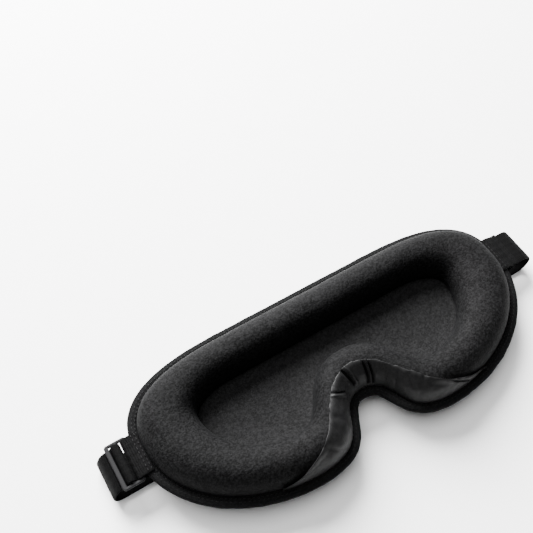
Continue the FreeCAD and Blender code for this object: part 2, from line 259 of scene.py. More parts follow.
def as_object(name: str, mesh: bmesh.types.BMesh, smooth: bool = True) -> bpy.types.Object:
    """Turns a bmesh into a linked object.

    Args:
        name: the piece's name.
        mesh: what to store; it is freed.
        smooth: whether faces are shaded smooth.

    Returns:
        The new object, at the origin.
    """
    data = bpy.data.meshes.new(name)
    mesh.to_mesh(data)
    mesh.free()
    if smooth:
        data.shade_smooth()
    piece = bpy.data.objects.new(name, data)
    bpy.context.scene.collection.objects.link(piece)
    return piece


def grid_into(mesh: bmesh.types.BMesh, columns: int, rows: int, place: Place,
              cloth: tuple[float, float]) -> list[bmesh.types.BMVert]:
    """Adds a grid and moves each of its points to its place on a surface.

    Args:
        mesh: what the grid is added to.
        columns: faces along the first direction.
        rows: faces along the second direction.
        place: gives a point for two shares from 0 to 1.
        cloth: size of the cloth, for its UV map, in metres.

    Returns:
        The grid's vertices.
    """
    layer = mesh.loops.layers.uv.get("Cloth") or mesh.loops.layers.uv.new("Cloth")
    made = bmesh.ops.create_grid(mesh, x_segments=columns, y_segments=rows, size=0.5, calc_uvs=False)["verts"]
    for face in {f for v in made for f in v.link_faces}:
        for loop in face.loops:
            loop[layer].uv = ((loop.vert.co.x + 0.5) * cloth[0], (loop.vert.co.y + 0.5) * cloth[1])
    for vert in made:
        vert.co = place(vert.co.x + 0.5, vert.co.y + 0.5)
    return made


def closed_band(name: str, columns: int, rows: int, place: Place, cloth: tuple[float, float],
                capped: bool = False) -> bpy.types.Object:
    """A tube-like piece: the second direction runs round its section.

    Args:
        name: the piece's name.
        columns: faces along it.
        rows: faces round its section.
        place: gives a point for two shares from 0 to 1.
        cloth: size of the cloth, for its UV map, in metres.
        capped: whether its two ends are open and need a cap.

    Returns:
        The closed piece.
    """
    mesh = bmesh.new()
    grid_into(mesh, columns, rows, place, cloth)
    bmesh.ops.remove_doubles(mesh, verts=mesh.verts, dist=1e-6)
    if capped:
        rim = [e for e in mesh.edges if e.is_boundary]
        bmesh.ops.holes_fill(mesh, edges=rim, sides=0)
    bmesh.ops.recalc_face_normals(mesh, faces=mesh.faces)
    return as_object(name, mesh)


def layered(name: str, columns: int, rows: int, lower: Place, upper: Place,
            cloth: tuple[float, float]) -> bpy.types.Object:
    """A closed piece between two surfaces that share one grid.

    Args:
        name: the piece's name.
        columns: faces along the first direction.
        rows: faces along the second direction.
        lower: places the under surface.
        upper: places the upper surface.
        cloth: size of the cloth, for its UV map, in metres.

    Returns:
        The closed piece.
    """
    mesh = bmesh.new()
    grid_into(mesh, columns, rows, lower, cloth)
    grid_into(mesh, columns, rows, upper, cloth)
    bmesh.ops.bridge_loops(mesh, edges=[e for e in mesh.edges if e.is_boundary])
    bmesh.ops.recalc_face_normals(mesh, faces=mesh.faces)
    return as_object(name, mesh)


def ripple(point: Vector, size: float, seed: float = 0.0) -> float:
    """Smooth unevenness from -1 to 1, with bumps of about the given size."""
    return noise.noise(point / size + Vector((seed, 3.7 * seed, 0.0)))


def soften(low: float, high: float, value: float) -> float:
    """0 below low, 1 above high and smooth between them."""
    share = max(0.0, min(1.0, (value - low) / (high - low)))
    return share * share * (3 - 2 * share)


def plump(piece: bpy.types.Object, pinned: Callable[[Vector], bool], cap: float, pressure: float) -> None:
    """Fills a closed padded piece with air for a moment, as stuffing does, and keeps the small swelling.

    Args:
        piece: closed mesh that is changed in place.
        pinned: says which points are sewn down.
        cap: furthest that a point may move, in metres.
        pressure: of the stuffing.
    """
    rest = [v.co.copy() for v in piece.data.vertices]
    group = piece.vertex_groups.new(name="sewn")
    group.add([i for i, co in enumerate(rest) if pinned(co)], 1.0, "REPLACE")
    modifier = piece.modifiers.new("Stuffing", "CLOTH")
    cloth = modifier.settings
    cloth.quality = 6
    cloth.mass = 0.3
    cloth.vertex_group_mass = group.name
    cloth.use_pressure = True
    cloth.uniform_pressure_force = pressure
    cloth.tension_stiffness = 18
    cloth.compression_stiffness = 18
    cloth.bending_stiffness = 0.6
    cloth.effector_weights.gravity = 0.0
    modifier.collision_settings.use_collision = False
    scene = bpy.context.scene
    modifier.point_cache.frame_start = 1
    modifier.point_cache.frame_end = 12
    for frame_number in range(1, 13):
        scene.frame_set(frame_number)
    shaped = piece.evaluated_get(bpy.context.evaluated_depsgraph_get()).to_mesh()
    moved = [v.co.copy() for v in shaped.vertices]
    piece.modifiers.remove(modifier)
    piece.vertex_groups.remove(group)
    for vert, before, after in zip(piece.data.vertices, rest, moved):
        shift = after - before
        length = shift.length
        vert.co = before + (shift * (cap / length * math.tanh(length / cap)) if length > 1e-9 else shift)
    scene.frame_set(1)


# ---------------------------------------------------------------------------
# Finishes
# ---------------------------------------------------------------------------


class Bench:
    """A node tree with short ways to add and link nodes."""

    def __init__(self, tree: bpy.types.NodeTree) -> None:
        """Keeps the tree that nodes are added to."""
        self.tree = tree

    def add(self, kind: str, **settings: object) -> bpy.types.Node:
        """Adds a node.

        Args:
            kind: the node's type without its ShaderNode prefix.
            **settings: its properties.

        Returns:
            The node.
        """
        node = self.tree.nodes.new(kind if kind.startswith("Node") else "ShaderNode" + kind)
        for key, value in settings.items():
            setattr(node, key, value)
        return node

    def put(self, value: object, socket: bpy.types.NodeSocket) -> None:
        """Links a socket's output, or sets a plain value."""
        if isinstance(value, bpy.types.NodeSocket):
            self.tree.links.new(value, socket)
        else:
            socket.default_value = value

    def math(self, operation: str, first: object, second: object = 0.0,
             third: object = 0.0) -> bpy.types.NodeSocket:
        """One calculation on up to three values.

        Returns:
            The result's socket.
        """
        node = self.add("Math", operation=operation)
        for value, socket in zip((first, second, third), node.inputs):
            self.put(value, socket)
        return node.outputs[0]

    def noise(self, vector: object, scale: object, detail: float = 2.0,
              rough: float = 0.5) -> bpy.types.NodeSocket:
        """Noise from 0 to 1 at a scale in bumps per metre."""
        node = self.add("TexNoise")
        self.put(vector, node.inputs["Vector"])
        self.put(scale, node.inputs["Scale"])
        node.inputs["Detail"].default_value = detail
        node.inputs["Roughness"].default_value = rough
        return node.outputs["Fac"]

    def blend(self, share: object, first: object, second: object) -> bpy.types.NodeSocket:
        """Mixes two colours."""
        node = self.add("Mix", data_type="RGBA")
        self.put(share, node.inputs["Factor"])
        self.put(first, node.inputs[6])
        self.put(second, node.inputs[7])
        return node.outputs[2]

    def spread(self, value: object, low: float, high: float) -> bpy.types.NodeSocket:
        """Stretches a value so that low gives 0 and high gives 1."""
        node = self.add("MapRange", interpolation_type="SMOOTHSTEP")
        self.put(value, node.inputs["Value"])
        node.inputs["From Min"].default_value = low
        node.inputs["From Max"].default_value = high
        return node.outputs["Result"]


def new_group(name: str, inputs: Sequence[tuple[str, str, object]],
              outputs: Sequence[tuple[str, str]]) -> tuple[Bench, dict, bpy.types.Node]:
    """Starts a shader node group.

    Args:
        name: the group's name.
        inputs: name, socket type and default of each input.
        outputs: name and socket type of each output.

    Returns:
        The bench, the input sockets by name and the group's output node.
    """
    tree = bpy.data.node_groups.new(name, "ShaderNodeTree")
    for label, kind, default in inputs:
        socket = tree.interface.new_socket(label, in_out="INPUT", socket_type="NodeSocket" + kind)
        socket.default_value = default
    for label, kind in outputs:
        tree.interface.new_socket(label, in_out="OUTPUT", socket_type="NodeSocket" + kind)
    bench = Bench(tree)
    entry = bench.add("NodeGroupInput")
    exit_node = bench.add("NodeGroupOutput")
    return bench, {socket.name: socket for socket in entry.outputs if socket.name}, exit_node


class ClothGroups:
    """Node groups shared by the cloth finishes: heathered knit, woven ribs and stray lint."""

    def __init__(self) -> None:
        """Builds each group once."""
        self.heather = self.build_heather()
        self.ribs = self.build_ribs()
        self.lint = self.build_lint()

    @staticmethod
    def build_heather() -> bpy.types.NodeTree:
        """Mixed pale and dark fibres, from the piece's own coordinates.

        Returns:
            A group with a colour and a height.
        """
        bench, given, out = new_group(
            "Heather",
            (("Dark", "Color", (0.02, 0.02, 0.02, 1)), ("Light", "Color", (0.06, 0.06, 0.06, 1)),
             ("Fibre Scale", "Float", 900.0), ("Speckle", "Float", 0.5), ("Mottle", "Float", 0.25)),
            (("Color", "Color"), ("Height", "Float")))
        where = bench.add("TexCoord").outputs["Object"]
        fine = bench.noise(where, given["Fibre Scale"], 3.0, 0.65)
        coarse_scale = bench.math("MULTIPLY", given["Fibre Scale"], 0.55)
        coarse = bench.noise(where, coarse_scale, 2.0, 0.55)
        wide = bench.noise(where, 38.0, 3.0, 0.55)
        cells = bench.add("TexVoronoi", feature="F1")
        bench.put(where, cells.inputs["Vector"])
        bench.put(bench.math("MULTIPLY", given["Fibre Scale"], 0.9), cells.inputs["Scale"])
        fibres = bench.spread(bench.math("ADD", bench.math("MULTIPLY", fine, 0.6),
                                         bench.math("MULTIPLY", coarse, 0.4)), 0.38, 0.64)
        speckled = bench.math("MULTIPLY_ADD", bench.math("SUBTRACT", fibres, 0.5), given["Speckle"], 0.5)
        mottled = bench.math("MULTIPLY_ADD", bench.math("SUBTRACT", wide, 0.5), given["Mottle"], speckled)
        bench.put(bench.blend(mottled, given["Dark"], given["Light"]), out.inputs["Color"])
        loops = bench.math("SUBTRACT", 1.0, cells.outputs["Distance"])
        height = bench.math("MULTIPLY_ADD", loops, 0.45, bench.math("MULTIPLY", fine, 0.55))
        bench.put(height, out.inputs["Height"])
        return bench.tree

    @staticmethod
    def build_ribs() -> bpy.types.NodeTree:
        """Crossed threads on the cloth's own UV map.

        Returns:
            A group with a height and a mask of the raised threads.
        """
        bench, given, out = new_group(
            "Crossed threads",
            (("Along Scale", "Float", 500.0), ("Across Scale", "Float", 300.0), ("Wander", "Float", 0.6)),
            (("Height", "Float"), ("Raised", "Float")))
        uv = bench.add("UVMap", uv_map="Cloth").outputs["UV"]
        waves = []
        for direction, key in (("X", "Along Scale"), ("Y", "Across Scale")):
            wave = bench.add("TexWave", wave_type="BANDS", bands_direction=direction)
            bench.put(uv, wave.inputs["Vector"])
            bench.put(given[key], wave.inputs["Scale"])
            bench.put(given["Wander"], wave.inputs["Distortion"])
            wave.inputs["Detail"].default_value = 1.0
            wave.inputs["Detail Scale"].default_value = 2.0
            waves.append(wave.outputs["Fac"])
        raised = bench.math("MULTIPLY_ADD", waves[0], 0.5, bench.math("MULTIPLY", waves[1], 0.5))
        bench.put(raised, out.inputs["Height"])
        bench.put(bench.spread(raised, 0.35, 0.85), out.inputs["Raised"])
        return bench.tree

    @staticmethod
    def build_lint() -> bpy.types.NodeTree:
        """Rare pale fibres that cling to dark cloth.

        Returns:
            A group with a mask.
        """
        bench, given, out = new_group("Lint", (("Amount", "Float", 0.5),), (("Mask", "Float"),))
        where = bench.add("TexCoord").outputs["Object"]
        cells = bench.add("TexVoronoi", feature="F1")
        bench.put(where, cells.inputs["Vector"])
        cells.inputs["Scale"].default_value = 260.0
        dots = bench.spread(cells.outputs["Distance"], 0.09, 0.03)
        rare = bench.spread(bench.noise(where, 90.0, 1.0), 0.60, 0.68)
        mask = bench.math("MULTIPLY", bench.math("MULTIPLY", dots, rare), given["Amount"])
        bench.put(mask, out.inputs["Mask"])
        return bench.tree


@dataclass(frozen=True)
class ClothFinish:
    """A dark cloth: its fibres, its weave, its nap and its gloss, with painted shade deep in sunken folds."""

    name: str
    slot: str
    lay: Lay
    dark: float
    light: float
    tint: tuple[float, float, float] = (1.0, 1.0, 1.03)
    fibre_scale: float = 1050.0
    speckle: float = 1.0
    mottle: float = 0.25
    roughness: float = 0.74
    sheen: float = 0.004
    sheen_roughness: float = 0.5
    specular: float = 0.05
    grain_depth: float = 0.32 * MM
    thread_depth: float = 0.0
    threads: tuple[float, float] = (500.0, 300.0)
    lint: float = 0.12

    def shade(self, level: float) -> tuple[float, float, float, float]:
        """A grey level as a slightly tinted colour."""
        return (level * self.tint[0], level * self.tint[1], level * self.tint[2], 1.0)

    def make(self, groups: ClothGroups) -> bpy.types.Material:
        """Builds the material.

        Args:
            groups: the shared node groups.

        Returns:
            The material.
        """
        material = bpy.data.materials.new(self.name)
        material.use_nodes = True
        bench = Bench(material.node_tree)
        shader = material.node_tree.nodes["Principled BSDF"]
        heather = bench.add("Group", node_tree=groups.heather)
        heather.inputs["Dark"].default_value = self.shade(self.dark)
        heather.inputs["Light"].default_value = self.shade(self.light)
        heather.inputs["Fibre Scale"].default_value = self.fibre_scale
        heather.inputs["Speckle"].default_value = self.speckle
        heather.inputs["Mottle"].default_value = self.mottle
        color = heather.outputs["Color"]
        bump = bench.add("Bump")
        bump.inputs["Strength"].default_value = 0.8
        bump.inputs["Distance"].default_value = self.grain_depth
        bench.put(heather.outputs["Height"], bump.inputs["Height"])
        normal = bump.outputs["Normal"]
        if self.lay is not Lay.KNIT:
            ribs = bench.add("Group", node_tree=groups.ribs)
            ribs.inputs["Along Scale"].default_value = self.threads[0]
            ribs.inputs["Across Scale"].default_value = self.threads[1]
            raise_threads = bench.add("Bump")
            raise_threads.inputs["Strength"].default_value = 0.8
            raise_threads.inputs["Distance"].default_value = self.thread_depth
            bench.put(ribs.outputs["Height"], raise_threads.inputs["Height"])
            bench.put(normal, raise_threads.inputs["Normal"])
            normal = raise_threads.outputs["Normal"]
            share = bench.math("MULTIPLY", ribs.outputs["Raised"], 0.5)
            color = bench.blend(share, color, self.shade(self.light))
        lint = bench.add("Group", node_tree=groups.lint)
        lint.inputs["Amount"].default_value = self.lint
        color = bench.blend(lint.outputs["Mask"], color, (0.12, 0.12, 0.12, 1))
        # Painted shade: a per-point fold attribute darkens the colour towards near black and dims the
        # specular deep in sunken folds; pieces without it are unchanged.
        fold = bench.add("Attribute", attribute_name="PaintedFoldShade").outputs["Fac"]
        unshaded_specular_share = bench.math("SUBTRACT", 1.0, bench.math("MULTIPLY", fold, 0.95))
        bench.put(bench.blend(fold, color, (0.0005, 0.0005, 0.0005, 1)), shader.inputs["Base Color"])
        bench.put(bench.math("MULTIPLY", unshaded_specular_share, self.specular), shader.inputs["Specular IOR Level"])
        bench.put(normal, shader.inputs["Normal"])
        rough = bench.math("MULTIPLY_ADD", heather.outputs["Height"], 0.12, self.roughness - 0.06)
        bench.put(rough, shader.inputs["Roughness"])
        shader.inputs["Sheen Weight"].default_value = self.sheen
        shader.inputs["Sheen Roughness"].default_value = self.sheen_roughness
        shader.inputs["Sheen Tint"].default_value = (0.75, 0.76, 0.80, 1)
        return material


@dataclass(frozen=True)
class PlasticFinish:
    """Black moulded plastic with a soft gloss and faint scuffs."""

    name: str = "Moulded black plastic"
    level: float = 0.006
    roughness: float = 0.50

    def make(self) -> bpy.types.Material:
        """Builds the material.

        Returns:
            The material.
        """
        material = bpy.data.materials.new(self.name)
        material.use_nodes = True
        bench = Bench(material.node_tree)
        shader = material.node_tree.nodes["Principled BSDF"]
        where = bench.add("TexCoord").outputs["Object"]
        scuffs = bench.noise(where, 420.0, 4.0, 0.7)
        cloud = bench.noise(where, 60.0, 2.0)
        bench.put(bench.math("MULTIPLY_ADD", scuffs, 0.22, self.roughness - 0.08), shader.inputs["Roughness"])
        color = bench.blend(cloud, (self.level, self.level, self.level * 1.05, 1),
                            (self.level * 1.8, self.level * 1.8, self.level * 1.9, 1))
        bench.put(color, shader.inputs["Base Color"])
        shader.inputs["Specular IOR Level"].default_value = 0.05
        bump = bench.add("Bump")
        bump.inputs["Strength"].default_value = 0.35
        bump.inputs["Distance"].default_value = 0.05 * MM
        bench.put(scuffs, bump.inputs["Height"])
        bench.put(bump.outputs["Normal"], shader.inputs["Normal"])
        return material


@dataclass
class Wardrobe:
    """Every finish of the mask, built once."""

    groups: ClothGroups = field(default_factory=ClothGroups)

    def __post_init__(self) -> None:
        """Builds the materials."""
        cloths = {
            "front": ClothFinish("Front knit", "front_knit", Lay.KNIT, 0.0007, 0.006),
            "ring": ClothFinish("Ring knit", "ring_knit", Lay.KNIT, 0.0005, 0.006, specular=0.04),
            "lining": ClothFinish("Lining knit", "lining_knit", Lay.KNIT, 0.001, 0.007, specular=0.07),
            "tape": ClothFinish("Binding tape", "binding_tape", Lay.TAPE, 0.001, 0.006, fibre_scale=1900.0,
                                thread_depth=0.12 * MM, threads=(420.0, 300.0), sheen=0.001, specular=0.02),
            "thread": ClothFinish("Twisted thread", "thread", Lay.KNIT, 0.001, 0.005, fibre_scale=2600.0,
                                  roughness=0.6, sheen=0.002, specular=0.10, lint=0.0),
            "satin": ClothFinish("Flap satin", "flap_satin", Lay.SATIN, 0.002, 0.006, speckle=0.35,
                                 mottle=0.3, roughness=0.52, sheen=0.003, specular=0.10,
                                 grain_depth=0.04 * MM,
                                 thread_depth=0.03 * MM, threads=(900.0, 700.0), lint=0.1),
            "webbing": ClothFinish("Ribbed webbing", "webbing", Lay.RIBBED, 0.0005, 0.003, fibre_scale=1500.0,
                                   speckle=0.9, thread_depth=0.25 * MM, threads=(260.0, 420.0), sheen=0.001,
                                   specular=0.03),
            "elastic": ClothFinish("Ribbed elastic", "elastic", Lay.RIBBED, 0.0003, 0.002, fibre_scale=2000.0,
                                   speckle=0.5, roughness=0.75, thread_depth=0.12 * MM,
                                   threads=(330.0, 520.0),
                                   sheen=0.001, specular=0.03),
        }
        self.slots = {key: cloth.slot for key, cloth in cloths.items()}
        self.materials = {key: cloth.make(self.groups) for key, cloth in cloths.items()}
        self.plastic = PlasticFinish().make()

    def dress(self, piece: bpy.types.Object, key: str) -> bpy.types.Object:
        """Gives a piece its material."""
        piece.data.materials.clear()
        piece.data.materials.append(self.materials[key])
        return piece


def across_bridge(piece: bpy.types.Object) -> None:
    """Bakes a piece's placement into its mesh; the piece is not parented to either half."""
    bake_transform(piece)


def both_sides(*stems: str) -> list[str]:
    """Names of the left and right nodes for each stem."""
    return [stem + side for stem in stems for side in ("_left", "_right")]


# ---------------------------------------------------------------------------
# Padded body
# ---------------------------------------------------------------------------


@dataclass
class PaddedBody:
    """Front with its two domes, cavity lining and the padded ring round the eyes."""

    form: MaskForm
    wardrobe: Wardrobe
    across: int = 170
    rows: int = 64
    ring_columns: int = 340
    ring_rows: int = 52

    def plan(self, u: float, v: float) -> tuple[float, float]:
        """Spreads a grid over the pressed layers, closer together at the ends."""
        end = self.form.width / 2 - 3.0 * MM
        x = end * math.sin(math.pi / 2 * (2 * u - 1))
        low, high = self.form.row_span(x)
        return x, low + (high - low) * (1 - math.cos(math.pi * v)) / 2

    def surface(self, height: Callable[[float, float], float]) -> Place:
        """A placing function from a height over the plan."""

        def place(u: float, v: float) -> Vector:
            """Point for two shares."""
            x, y = self.plan(u, v)
            return Vector((x, y, height(x, y)))

        return place

    def make_front(self) -> bpy.types.Object:
        """The two soft domes of the front, knit over foam."""
        form = self.form

        def outside(x: float, y: float) -> float:
            """Outer knit with faint unevenness."""
            base = form.front_bottom(x, y)
            uneven = 0.35 * MM * ripple(Vector((x, y, 0.0)), 17.0 * MM) * form.swell(x, y)
            return max(base + uneven, form.rim - form.pressed_half - form.front_depth)

        piece = layered("front_padding", self.across, self.rows, self.surface(outside),
                        self.surface(lambda x, y: form.lining_top(x, y) - 0.5 * MM),
                        (form.width, form.height))
        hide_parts(*both_sides("front_cover", "front_foam"))
        return self.wardrobe.dress(piece, "front")

    def make_lining(self) -> bpy.types.Object:
        """Thin knit that lines the cavity."""
        form = self.form

        def top(x: float, y: float) -> float:
            """Lining with shallow ripples."""
            wave = 0.25 * MM * ripple(Vector((x, y, 5.0)), 14.0 * MM)
            return form.lining_top(x, y) + wave * form.swell(x, y)

        piece = layered("cavity_lining", self.across, self.rows,
                        self.surface(lambda x, y: top(x, y) - 0.4 * MM),
                        self.surface(top), (form.width, form.height))
        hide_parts(*both_sides("cavity_lining"))
        return self.wardrobe.dress(piece, "lining")

    def ring_place(self, u: float, v: float) -> Vector:
        """Point on the closed section of the ring; the last quarter of v is its flat underside."""
        form = self.form
        t, top_share = form.paced(u), 0.74
        if v > top_share:
            share = (v - top_share) / (1 - top_share)
            a, b = form.ring(t, 1.0, 0.0), form.ring(t, 0.0, 0.0)
            point = a.lerp(b, share)
            point.z = form.lining_top(point.x, point.y) + 0.6 * MM
            return point
        share = v / top_share
        point = form.ring(t, share, 0.0)
        crown = math.sin(math.pi * share)
        uneven = 0.45 * ripple(point, 16.0 * MM, 1.0) + 0.18 * ripple(point, 6.0 * MM, 2.0)
        pinch = (point - form.ring(0.765, 0.66, 0.0)).length / (1.6 * MM)
        return form.ring(t, share, (uneven * crown - 0.7 * math.exp(-pinch * pinch)) * MM)

    def make_ring(self) -> bpy.types.Object:
        """The padded ring, one soft roll that bends over the nose bridge."""
        form = self.form
        piece = closed_band("eye_ring", self.ring_columns, self.ring_rows, self.ring_place,
                            (form.edge_length, 70.0 * MM))
        plump(piece, lambda co: co.z < form.rim + 2.0 * MM, 0.8 * MM, 0.6)
        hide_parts(*both_sides("ring_cover", "ring_foam"), "bridge_wedge_forehead",
                    "bridge_wedge_nose")
        return self.wardrobe.dress(piece, "ring")

    def build(self) -> None:
        """Builds the three pieces."""
        for piece in (self.make_front(), self.make_lining(), self.make_ring()):
            across_bridge(piece)
            LOG.info("%s: %d faces", piece.name, len(piece.data.polygons))


# ---------------------------------------------------------------------------
# Bound edge
# ---------------------------------------------------------------------------


@dataclass
class BoundEdge:
    """Folded tape round the whole mask, with its lines of stitches."""

    form: MaskForm
    wardrobe: Wardrobe
    thickness: float = 3.8 * MM
    columns: int = 1000
    rows: int = 18
    pitch: float = 2.4 * MM
    inner_line: float = 4.3 * MM
    outer_line: float = 2.6 * MM

    def profile(self, inset: float) -> float:
        """Height of the tape's rounded top over the rim, at an inset from the edge."""
        half = self.form.tape_width / 2
        share = min(1.0, abs(inset - half) / half)
        return self.thickness / 2 * (1 - share ** 2.6) ** (1 / 2.6)

    def place(self, u: float, v: float) -> Vector:
        """Point on the tape's closed section, pressed in where it is stitched."""
        form = self.form
        t, angle = form.paced(u), 2 * math.pi * v
        half = form.tape_width / 2
        c, s = math.cos(angle), math.sin(angle)
        power = 2 / 2.6
        inset = half - math.copysign(abs(c) ** power, c) * half
        height = math.copysign(abs(s) ** power, s) * self.thickness / 2
        spot = form.edge.inset(t, inset)
        where = Vector((spot.x, spot.y, height))
        inset += 0.22 * MM * ripple(where, 7.0 * MM, 4.0) * (1 - inset / form.tape_width)
        press = math.exp(-((inset - self.inner_line) / (0.7 * MM)) ** 2)
        puckers = 0.5 + 0.5 * math.cos(2 * math.pi * u * form.edge_length / self.pitch)
        height *= 1 - press * (0.10 + 0.16 * puckers)
        height += 0.12 * MM * ripple(where, 4.0 * MM, 6.0) * (1 if height > 0 else -1)
        spot = form.edge.inset(t, inset)
        return Vector((spot.x, spot.y, form.rim + height))

    def stitches(self, name: str, inset: float, side: int, phase: float) -> bpy.types.Object:
        """A line of separate stitches along the tape.

        Args:
            name: the piece's name.
            inset: from the bound edge.
            side: 1 on the skin side, -1 on the front.
            phase: share of a stitch that the line is shifted by.

        Returns:
            One mesh of small rounded stitches.
        """
        form = self.form
        mesh = bmesh.new()
        count = round(form.edge_length / self.pitch)
        samples = [form.edge.inset(2 * i / 4000, inset) for i in range(4001)]
        lengths = [0.0]
        for a, b in zip(samples, samples[1:]):
            lengths.append(lengths[-1] + (b - a).length)
        index = 0
        for i in range(count):
            target = (i + phase) / count * lengths[-1]
            while lengths[index + 1] < target:
                index += 1
            spot = samples[index]
            along = (samples[index + 1] - samples[index]).normalized()
            height = form.rim + side * (self.profile(inset) - 0.12 * MM)
            turn = Matrix(((along.x, -along.y, 0, spot.x), (along.y, along.x, 0, spot.y), (0, 0, 1, height),
                           (0, 0, 0, 1)))
            skew = Matrix.Rotation(math.radians(9), 4, "Z")
            size = Matrix.Diagonal((0.85 * MM, 0.26 * MM, 0.24 * MM, 1))
            bmesh.ops.create_uvsphere(mesh, u_segments=8, v_segments=4, radius=1.0, matrix=turn @ skew @ size)
        return as_object(name, mesh)

    def build(self) -> None:
        """Builds the tape and its three lines of stitches."""
        form = self.form
        tape = closed_band("edge_tape", self.columns, self.rows, self.place, (form.edge_length, 16.0 * MM))
        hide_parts(*both_sides("edge_binding"))
        self.wardrobe.dress(tape, "tape")
        across_bridge(tape)
        for name, inset, side, phase, node in (("stitches_inner", self.inner_line, 1, 0.0, "inner_thread"),
                                               ("stitches_outer", self.outer_line, 1, 0.45, "outer_thread"),
                                               ("stitches_front", self.outer_line, -1, 0.2, "front_thread")):
            line = self.stitches(name, inset, side, phase)
            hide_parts(*both_sides(node))
            self.wardrobe.dress(line, "thread")
            across_bridge(line)
        LOG.info("bound edge: tape and three stitch lines")


# ---------------------------------------------------------------------------
# Nose flap
# ---------------------------------------------------------------------------


@dataclass(frozen=True)
class Crease:
    """A fold in the flap, between two spots given as (side, t, v).

    Positive depth stands up and negative depth sinks in.
    """

    start: tuple[int, float, float]
    end: tuple[int, float, float]
    width: float
    depth: float


